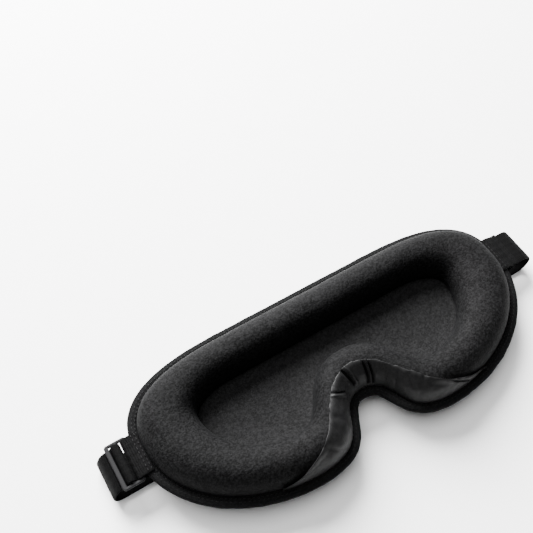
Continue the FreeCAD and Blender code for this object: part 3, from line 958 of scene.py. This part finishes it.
@dataclass
class NoseFlap:
    """Thin satin flap over the nose side of the ring, sewn at the seam and free along its upper edge."""

    form: MaskForm
    wardrobe: Wardrobe
    thickness: float = 0.45 * MM
    lift: float = 0.6 * MM
    reach: tuple[float, float] = (0.36, 0.36)
    left_edge: tuple[tuple[float, float], ...] = (
        (0.0, 0.41), (0.08, 0.45), (0.15, 0.51), (0.21, 0.50), (0.255, 0.44), (0.29, 0.34), (0.325, 0.19),
        (0.36, 0.04))
    right_edge: tuple[tuple[float, float], ...] = (
        (0.0, 0.41), (0.03, 0.38), (0.08, 0.36), (0.15, 0.39), (0.21, 0.41), (0.26, 0.35), (0.293, 0.25),
        (0.327, 0.14), (0.36, 0.03))
    rounding: float = 0.014
    wing_near: float = 0.075
    wing_middle: float = 0.146
    wing_far: float = 0.235
    columns: int = 520
    rows: int = 44
    creases: tuple[Crease, ...] = (
        Crease((-1, 0.960, 0.44), (-1, 0.980, 0.17), 0.9 * MM, -1.5 * MM),
        Crease((-1, 0.973, 0.44), (-1, 0.988, 0.17), 0.8 * MM, 0.9 * MM),
        Crease((-1, 0.950, 0.44), (-1, 0.963, 0.25), 0.9 * MM, 0.7 * MM),
        Crease((1, 0.980, 0.42), (1, 0.980, 0.07), 0.7 * MM, -1.3 * MM),
        Crease((1, 0.967, 0.40), (1, 0.967, 0.06), 0.7 * MM, -1.3 * MM),
        Crease((1, 0.974, 0.41), (1, 0.974, 0.07), 0.6 * MM, 0.8 * MM),
        Crease((-1, 0.860, 0.50), (-1, 0.930, 0.27), 0.7 * MM, -0.8 * MM),
        Crease((-1, 0.852, 0.50), (-1, 0.922, 0.25), 0.7 * MM, 0.6 * MM),
        Crease((-1, 0.790, 0.46), (-1, 0.860, 0.15), 1.6 * MM, -0.5 * MM),
        Crease((-1, 0.713, 0.34), (-1, 0.760, 0.06), 1.3 * MM, -0.5 * MM),
        Crease((1, 0.715, 0.27), (1, 0.675, 0.05), 0.7 * MM, -0.9 * MM),
        Crease((1, 0.698, 0.22), (1, 0.655, 0.04), 0.7 * MM, -0.8 * MM),
        Crease((1, 0.880, 0.40), (1, 0.900, 0.05), 1.2 * MM, -0.4 * MM),
        Crease((1, 0.770, 0.40), (1, 0.800, 0.08), 1.6 * MM, -0.5 * MM),
        Crease((1, 0.835, 0.40), (1, 0.820, 0.22), 0.9 * MM, -0.5 * MM),
    )

    def free_edge(self, t: float) -> float:
        """How far over the ring the free edge lies, at t along the whole outline.

        Args:
            t: along the outline, below 1 on the right and above 1 on the left.

        Returns:
            The share v across the ring, read off the side's list and rounded at its corners.
        """
        places = self.left_edge if t > 1.0 else self.right_edge

        def straight(away: float) -> float:
            spot = max(1, min(len(places) - 1, bisect_right([place[0] for place in places], away)))
            (low, start), (high, end) = places[spot - 1], places[spot]
            return start + (end - start) * max(0.0, min(1.0, (away - low) / (high - low)))

        away = abs(t - 1.0)
        reach = sum(straight(abs(away + shift)) for shift in (-self.rounding, 0.0, self.rounding)) / 3
        return max(0.03, reach + 0.012 * ripple(Vector((t * 0.30, 0.0, 0.0)), 7.0 * MM, 21.0))

    def crease_height(self, point: Vector) -> float:
        """Height of every fold at one point."""
        total = 0.0
        for crease, path, steps in self.crease_paths:
            _, index, gap = path.find(point)
            if gap < 3.0 * crease.width:
                total += crease.depth * math.exp(-(gap / crease.width) ** 2) * (
                    0.55 + 0.45 * math.sin(math.pi * index / steps))
        return total

    def painted_fold_shade(self, point: Vector) -> float:
        """Painted shade at one point, from 0 to 1, by how deep it lies in a sunken fold."""
        deepest = 0.0
        for crease, path, _ in self.crease_paths:
            if crease.depth < -0.6 * MM:
                deepest = max(deepest, math.exp(-(path.find(point)[2] / (1.1 * crease.width)) ** 4))
        return deepest

    def path_of(self, crease: Crease, steps: int = 80) -> tuple[Crease, KDTree, int]:
        """A fold's course over the ring, as close-set points."""
        path = KDTree(steps + 1)
        (side, t0, v0), (_, t1, v1) = crease.start, crease.end
        for i in range(steps + 1):
            t, v = t0 + (t1 - t0) * i / steps, v0 + (v1 - v0) * i / steps
            path.insert(self.form.ring(t if side > 0 else 2 - t, v, self.lift), i)
        path.balance()
        return crease, path, steps

    def surface(self, t: float, share: float, grow: float) -> Vector:
        """Point on the flap.

        Args:
            t: along the outline.
            share: 0 at the seam, 1 at the free edge.
            grow: further out from the ring.

        Returns:
            The point.
        """
        form = self.form
        edge = self.free_edge(t)
        v = 0.004 + (edge - 0.004) * share
        base = form.ring(t, v, self.lift)
        wave = 0.35 * ripple(base, 7.0 * MM, 9.0) + 0.2 * ripple(base, 3.2 * MM, 11.0)
        pucker = ripple(Vector((t * 90.0 * MM, share * 3.0 * MM, 0.0)), 1.8 * MM, 3.0)
        gather = 0.5 * pucker * soften(0.75, 1.0, share)
        slack = (wave + gather) * MM * soften(0.0, 0.25, share)
        bump = self.crease_height(base) * soften(0.0, 0.12, share)
        stand = 0.9 * MM * soften(0.70, 0.97, share)
        return form.ring(t, v, max(0.15 * MM, self.lift + slack + bump + stand) + grow)

    def patch(self, name: str, start: float, end: float) -> bpy.types.Object:
        """A stretch of the flap between two places along the outline, with painted shade in its sunken folds
        stored per point.
        """
        columns = max(6, round(self.columns * (end - start) / sum(self.reach)))
        middles = [self.form.ring(start + (end - start) * i / columns, 0.25, 0.0) for i in range(columns + 1)]
        length = sum((b - a).length for a, b in zip(middles, middles[1:]))
        piece = layered(name, columns, self.rows,
                        lambda u, v: self.surface(start + (end - start) * u, v, 0.0),
                        lambda u, v: self.surface(start + (end - start) * u, v, self.thickness),
                        (length, 20.0 * MM))
        # Painted shade per point, darkest deep in the sunken folds, read by the cloth material.
        shadow = piece.data.attributes.new("PaintedFoldShade", "FLOAT", "POINT")
        shadow.data.foreach_set("value", [self.painted_fold_shade(vertex.co) for vertex in piece.data.vertices])
        return self.wardrobe.dress(piece, "satin")

    def build(self) -> None:
        """Builds the flap's middle, its two sewn tails and the two halves of each wing."""
        self.crease_paths = [self.path_of(crease) for crease in self.creases]
        middle = self.patch("flap_middle", 1 - self.wing_near, 1 + self.wing_near)
        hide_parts(*both_sides("nose_flap_bridge", "nose_flap_seam"))
        across_bridge(middle)
        for wing in Wing:
            side = -wing.value
            label = wing.name.lower()
            half, flap = label + "_half", "nose_flap_" + label
            end = self.reach[0 if wing is Wing.LEFT else 1]
            stops = [1 + side * s for s in (self.wing_near, self.wing_middle, self.wing_far, end)]
            places = [self.form.ring(stop, 0.2, 0.0) for stop in stops]
            inner = self.patch("flap_wing_inner_" + label, *sorted(stops[0:2]))
            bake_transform(inner)
            outer = self.patch("flap_wing_outer_" + label, *sorted(stops[1:3]))
            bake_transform(outer)
            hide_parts("nose_flap_wing_" + label, "nose_flap_hem_" + label)
            tail = self.patch("flap_tail_" + label, *sorted(stops[2:4]))
            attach(tail, half)
            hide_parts("nose_flap_tail_" + label)
        LOG.info("nose flap: seven pieces")


# ---------------------------------------------------------------------------
# Strap, tabs and adjuster
# ---------------------------------------------------------------------------


@dataclass
class HeadStrap:
    """Elastic strap, the webbing tabs that hold it and the plastic adjuster."""

    form: MaskForm
    wardrobe: Wardrobe
    width: float = 22.0 * MM
    thickness: float = 1.2 * MM
    level: float = 10.5 * MM
    tab_width: float = 23.0 * MM
    tab_thickness: float = 1.0 * MM
    rows: int = 40

    def band(self, name: str, route: Sequence[tuple[float, float]], key: str, width: float,
             thickness: float, steps: int = 60) -> bpy.types.Object:
        """A flat band along a route.

        Args:
            name: the piece's name.
            route: (x, z) points that the band's middle passes near, in millimetres.
            key: its finish.
            width: across the band.
            thickness: of the band.
            steps: faces along it.

        Returns:
            The closed band.
        """
        points = [Vector((x * MM, z * MM)) for x, z in route]
        lengths = [0.0]
        for a, b in zip(points, points[1:]):
            lengths.append(lengths[-1] + (b - a).length)

        def spot(distance: float) -> Vector:
            """Point of a smooth line through the route."""
            distance = max(0.0, min(lengths[-1], distance))
            i = max(k for k in range(len(lengths)) if lengths[k] <= distance or k == 0)
            i = min(i, len(points) - 2)
            s = (distance - lengths[i]) / (lengths[i + 1] - lengths[i])
            before = points[max(0, i - 1)]
            after = points[min(len(points) - 1, i + 2)]
            p0, p1 = points[i], points[i + 1]
            gap = lengths[i + 1] - lengths[i]
            m0 = (p1 - before) / (lengths[i + 1] - lengths[max(0, i - 1)]) * gap
            m1 = (after - p0) / (lengths[min(len(points) - 1, i + 2)] - lengths[i]) * gap
            return ((2 * s ** 3 - 3 * s * s + 1) * p0 + (s ** 3 - 2 * s * s + s) * m0
                    + (3 * s * s - 2 * s ** 3) * p1 + (s ** 3 - s * s) * m1)

        def place(u: float, v: float) -> Vector:
            """Point on the band's rounded section."""
            distance = u * lengths[-1]
            middle = spot(distance)
            along = (spot(distance + 0.05 * MM) - spot(distance - 0.05 * MM)).normalized()
            normal = Vector((-along.y, along.x))
            angle = 2 * math.pi * v
            c, s = math.cos(angle), math.sin(angle)
            across = math.copysign(abs(c) ** 0.22, c) * width / 2
            off = math.copysign(abs(s) ** 0.5, s) * thickness / 2
            flat = middle + normal * off
            across += 0.15 * MM * ripple(Vector((flat.x, flat.y, c)), 9.0 * MM, 13.0)
            return Vector((flat.x, self.level + across, flat.y))

        cloth = (lengths[-1], 2 * (width + thickness))
        piece = closed_band(name, steps, self.rows, place, cloth, capped=True)
        return self.wardrobe.dress(piece, key)

    def arc(self, center: tuple[float, float], radius: float, start: float, end: float,
            count: int) -> list[tuple[float, float]]:
        """Points of an arc in XZ, in millimetres, by angle from +X towards +Z."""
        angles = [math.radians(start + (end - start) * i / (count - 1)) for i in range(count)]
        return [(center[0] + radius * math.cos(a), center[1] + radius * math.sin(a)) for a in angles]

    def flipped(self, route: Sequence[tuple[float, float]]) -> list[tuple[float, float]]:
        """The same route at the other end of the mask."""
        return [(-x, z) for x, z in route]

    def build_left(self) -> None:
        """The looped tab, the strap woven through the adjuster, its loop and its loose tail."""
        rim = self.form.rim / MM
        edge = self.form.width / MM / 2
        inner, middle, outer = edge + 1.9, edge + 7.3, edge + 12.25
        leg = 2.8
        loop = self.arc((inner, rim), 2.0, -80, 80, 9)
        legs = [(edge - 5.2, leg), (edge - 3.7, leg), (edge - 2.2, leg), (edge - 0.8, leg - 0.1)]
        route = [(x, rim - z) for x, z in legs] + loop + [(x, rim + z) for x, z in reversed(legs)]
        tab = self.band("webbing_loop_left", self.flipped(route), "webbing", self.tab_width,
                        self.tab_thickness)
        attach(tab, "left_half")
        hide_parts("tab_left")

        wrap, under, outer_end = 2.01, 1.85, outer + 1.15
        over = self.arc((middle, rim), wrap, 20, 165, 7)
        route = [(outer_end, rim - under), (outer - 0.1, rim - under),
                 (outer - 1.95, rim - under * 0.72)] + over
        route += [(middle - wrap, rim - 1.2), (middle - wrap + 0.1, rim - 2.6)]
        weave = self.band("elastic_weave_left", self.flipped(route), "elastic", self.width, self.thickness)
        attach(weave, "adjuster")
        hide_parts("strap_weave_left")

        reach, floor = edge + 18.9, self.thickness / MM / 2
        route = [(outer_end, rim - under), (outer_end + 1.2, rim - under - 0.5),
                 (outer_end + 3.0, rim - under - 2.2),
                 (reach - 0.8, 8.2), (reach, 5.0), (reach - 1.3, 1.9), (reach - 4.6, floor),
                 (reach - 8.0, floor), (edge + 8.0, floor), (edge - 4.0, floor)]
        loop_piece = self.band("elastic_loop_left", self.flipped(route), "elastic", self.width,
                               self.thickness, 90)
        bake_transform(loop_piece)
        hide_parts("strap_loop_left")

        tail_start, drop = middle - wrap + 0.6, 4.9
        route = [(tail_start, rim - drop), (tail_start + 3.7, rim - drop), (tail_start + 7.4, rim - drop)]
        tail = self.band("elastic_tail_left", self.flipped(route), "elastic", self.width, self.thickness, 16)
        route = [(tail_start + 4.2, rim - drop - 1.25), (tail_start + 7.4, rim - drop - 1.25)]
        hem = self.band("elastic_tail_hem_left", self.flipped(route), "elastic", self.width,
                        self.thickness, 10)
        for piece, node in ((tail, "strap_tail_left"), (hem, "strap_tail_hem_left")):
            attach(piece, "strap_tail")
            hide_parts(node)

    def build_right(self) -> None:
        """The sewn tab of two webbing legs and the loop of strap that comes out of it."""
        rim = self.form.rim / MM
        edge = self.form.width / MM / 2
        hold = 1.22
        route = [(edge - 5.2, 2.8), (edge - 3.4, 2.8), (edge - 1.6, 2.8), (edge, 2.7),
                 (edge + 2.0, hold + 0.8), (edge + 3.6, hold + 0.1), (edge + 5.2, hold), (edge + 7.5, hold)]
        for name, side in (("tab_upper_right", 1), ("tab_lower_right", -1)):
            path = [(x, rim + side * z) for x, z in route]
            leg = self.band("webbing_" + name, path, "webbing", self.tab_width, self.tab_thickness)
            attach(leg, "right_half")
            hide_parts(name)
        floor = self.thickness / MM / 2
        radius = (rim - floor) / 2
        reach = edge + 18.9
        bend = self.arc((reach - radius, floor + radius), radius, 90, -90, 17)
        route = [(edge + 3.0, rim), (edge + 6.0, rim), (edge + 9.0, rim)] + bend
        route += [(edge + 8.0, floor), (edge - 4.0, floor)]
        loop = self.band("elastic_loop_right", route, "elastic", self.width, self.thickness, 110)
        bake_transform(loop)
        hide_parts("strap_loop_right", "strap_anchor_right")

    def build_shared(self) -> None:
        """The stretch of strap under the mask and the stitches across the tabs."""
        edge = self.form.width / MM / 2
        floor = self.thickness / MM / 2
        run = [(x, floor) for x in (-(edge - 4.0), -60.0, 0.0, 60.0, edge - 4.0)]
        under = self.band("elastic_under", run, "elastic", self.width, self.thickness, 120)
        across_bridge(under)
        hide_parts(*both_sides("strap_under"))
        for wing in Wing:
            label = wing.name.lower()
            mesh = bmesh.new()
            for x in (edge - 4.2, edge - 2.2):
                count = 9
                for i in range(count):
                    y = self.level + (i / (count - 1) - 0.5) * (self.tab_width - 3.0 * MM)
                    place = Matrix.Translation((wing.value * x * MM, y, self.form.rim + 3.35 * MM))
                    size = Matrix.Diagonal((0.28 * MM, 0.9 * MM, 0.22 * MM, 1))
                    bmesh.ops.create_uvsphere(mesh, u_segments=8, v_segments=4, radius=1.0,
                                              matrix=place @ size)
            rows = as_object("tab_stitches_" + label, mesh)
            self.wardrobe.dress(rows, "thread")
            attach(rows, label + "_half")
            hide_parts("tab_stitching_" + label)

    def build(self) -> None:
        """Builds the whole strap and dresses the adjuster."""
        self.build_left()
        self.build_right()
        self.build_shared()
        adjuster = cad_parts["adjuster_left"]
        adjuster.data.materials.clear()
        adjuster.data.materials.append(self.wardrobe.plastic)
        LOG.info("strap, tabs and adjuster")


# ---------------------------------------------------------------------------
# Studio
# ---------------------------------------------------------------------------


@dataclass
class Studio:
    """Pale table, soft light from above and behind, and the camera."""

    camera_at: tuple[float, float, float] = (-0.12384, -0.12630, 0.39158)
    looks_at: tuple[float, float, float] = (-0.00273, 0.07446, 0.0156)
    lens: float = 50.5

    def floor(self) -> None:
        """A wide pale sheet that everything stands on."""
        mesh = bmesh.new()
        bmesh.ops.create_grid(mesh, x_segments=8, y_segments=8, size=3.0)
        sheet = as_object("table", mesh)
        sheet.location.z = -0.0002
        material = bpy.data.materials.new("Pale table")
        material.use_nodes = True
        bench = Bench(material.node_tree)
        shader = material.node_tree.nodes["Principled BSDF"]
        shade = bench.noise(bench.add("TexCoord").outputs["Object"], 3.0)
        pale = bench.blend(shade, (0.86, 0.86, 0.86, 1), (0.89, 0.89, 0.89, 1))
        bench.put(pale, shader.inputs["Base Color"])
        shader.inputs["Roughness"].default_value = 0.85
        shader.inputs["Specular IOR Level"].default_value = 0.1
        sheet.data.materials.append(material)

    def light(self, name: str, spot: tuple[float, float, float], aim: tuple[float, float, float], size: float,
              power: float) -> None:
        """A soft square lamp.

        Args:
            name: the lamp's name.
            spot: where it hangs.
            aim: what it points at.
            size: length of its side.
            power: in watts.
        """
        lamp = bpy.data.lights.new(name, "AREA")
        lamp.shape = "SQUARE"
        lamp.size = size
        lamp.energy = power
        holder = bpy.data.objects.new(name, lamp)
        bpy.context.scene.collection.objects.link(holder)
        holder.location = spot
        holder.rotation_euler = (Vector(aim) - Vector(spot)).to_track_quat("-Z", "Y").to_euler()

    def build(self) -> None:
        """Sets up the table, the lamps, the surroundings and the camera."""
        self.floor()
        self.light("Key", (0.05, 1.0, 0.75), (0, 0, 0), 0.9, 185.0)
        self.light("Top", (-0.2, 0.1, 1.3), (0, 0, 0), 1.0, 20.0)
        world = bpy.data.worlds.new("Pale room")
        world.use_nodes = True
        sky = world.node_tree.nodes["Background"]
        sky.inputs["Color"].default_value = (1, 1, 1, 1)
        sky.inputs["Strength"].default_value = 0.12
        bpy.context.scene.world = world
        data = bpy.data.cameras.new("Camera")
        data.lens = self.lens
        data.sensor_width = 36.0
        data.clip_start = 0.01
        camera = bpy.data.objects.new("Camera", data)
        bpy.context.scene.collection.objects.link(camera)
        camera.location = self.camera_at
        view = Vector(self.looks_at) - Vector(self.camera_at)
        camera.rotation_euler = view.to_track_quat("-Z", "Y").to_euler()
        bpy.context.scene.camera = camera


def tape_box() -> tuple[Vector, Vector]:
    """Corners of the bound edge on both sides together."""
    boxes = [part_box(node) for node in both_sides("edge_binding")]
    low = Vector([min(box[0][i] for box in boxes) for i in range(3)])
    high = Vector([max(box[1][i] for box in boxes) for i in range(3)])
    return low, high


def main() -> None:
    """Builds the mask, sub-assembly by sub-assembly, and its studio."""
    logging.basicConfig(level=logging.INFO, format="%(name)s: %(message)s")
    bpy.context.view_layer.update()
    low, high = tape_box()
    form = MaskForm(rim=(low.z + high.z) / 2, width=high.x - low.x, height=high.y - low.y)
    wardrobe = Wardrobe()
    PaddedBody(form, wardrobe).build()
    BoundEdge(form, wardrobe).build()
    NoseFlap(form, wardrobe).build()
    HeadStrap(form, wardrobe).build()
    Studio().build()


if __name__ == "__main__":
    main()
